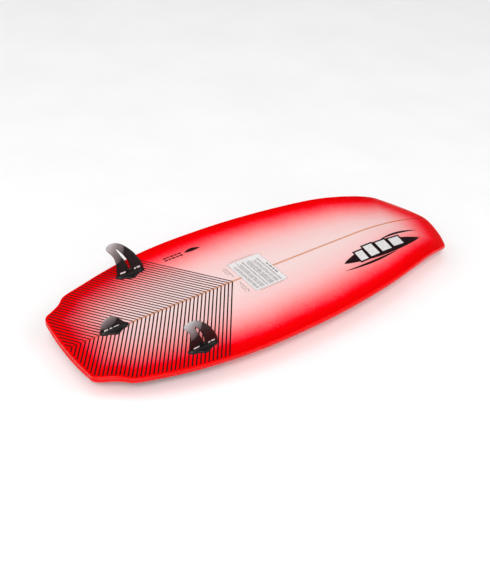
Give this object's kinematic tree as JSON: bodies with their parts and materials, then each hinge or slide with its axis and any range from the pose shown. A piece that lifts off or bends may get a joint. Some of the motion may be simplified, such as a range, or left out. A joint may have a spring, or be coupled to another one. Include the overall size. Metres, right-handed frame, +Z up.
{
  "type": "wakesurf board",
  "caption": "Short wide rigid surf board with a rounded wedge nose, stepped square tail, removable click-in fins and deck grip pads, lying bottom up.",
  "frame": {"origin": "centre of the footprint at the height of the surface the board lies on, deck down", "axes": "+X along the stringer towards the nose, +Y across the board, +Z up out of the bottom, where the fins point"},
  "size_m": [1.372, 0.566, 0.1965],
  "materials": {
    "foam_core": "matte",
    "stringer_wood": "matte",
    "bottom_laminate": "gloss",
    "deck_laminate": "gloss",
    "label": "satin",
    "box_plastic": "satin",
    "spring_steel": "satin",
    "fin_black": "gloss",
    "fin_smoke": "gloss",
    "gasket_rubber": "matte",
    "pad_foam": "matte"
  },
  "bodies": {
    "board": {"core_left": "foam_core", "core_right": "foam_core", "stringer": "stringer_wood", "bottom_skin": "bottom_laminate", "deck_skin": "deck_laminate", "info_label": "label", "left_fin_box": "box_plastic", "right_fin_box": "box_plastic", "centre_fin_box": "box_plastic", "left_box_springs": "spring_steel", "right_box_springs": "spring_steel", "centre_box_springs": "spring_steel", "rear_pad_left": "pad_foam", "rear_pad_centre": "pad_foam", "rear_pad_right": "pad_foam", "front_pad_left": "pad_foam", "front_pad_centre": "pad_foam", "front_pad_right": "pad_foam", "tail_kick": "pad_foam"},
    "left_fin": {"left_fin_base": "fin_black", "left_fin_tip": "fin_smoke", "left_fin_gasket": "gasket_rubber"},
    "right_fin": {"right_fin_base": "fin_black", "right_fin_tip": "fin_smoke", "right_fin_gasket": "gasket_rubber"},
    "centre_fin": {"centre_fin_base": "fin_black", "centre_fin_tip": "fin_smoke", "centre_fin_gasket": "gasket_rubber"}
  },
  "joints": [
    {"name": "left_fin_release", "type": "slide", "parent": "board", "child": "left_fin", "axis": [-0.0285, 0, 0.9996], "range_m": [0, 0.045], "deforming": ["left_box_springs"]},
    {"name": "right_fin_release", "type": "slide", "parent": "board", "child": "right_fin", "axis": [-0.0285, 0, 0.9996], "range_m": [0, 0.045], "deforming": ["right_box_springs"]},
    {"name": "centre_fin_release", "type": "slide", "parent": "board", "child": "centre_fin", "axis": [-0.0327, 0, 0.9995], "range_m": [0, 0.045], "deforming": ["centre_box_springs"]}
  ]
}
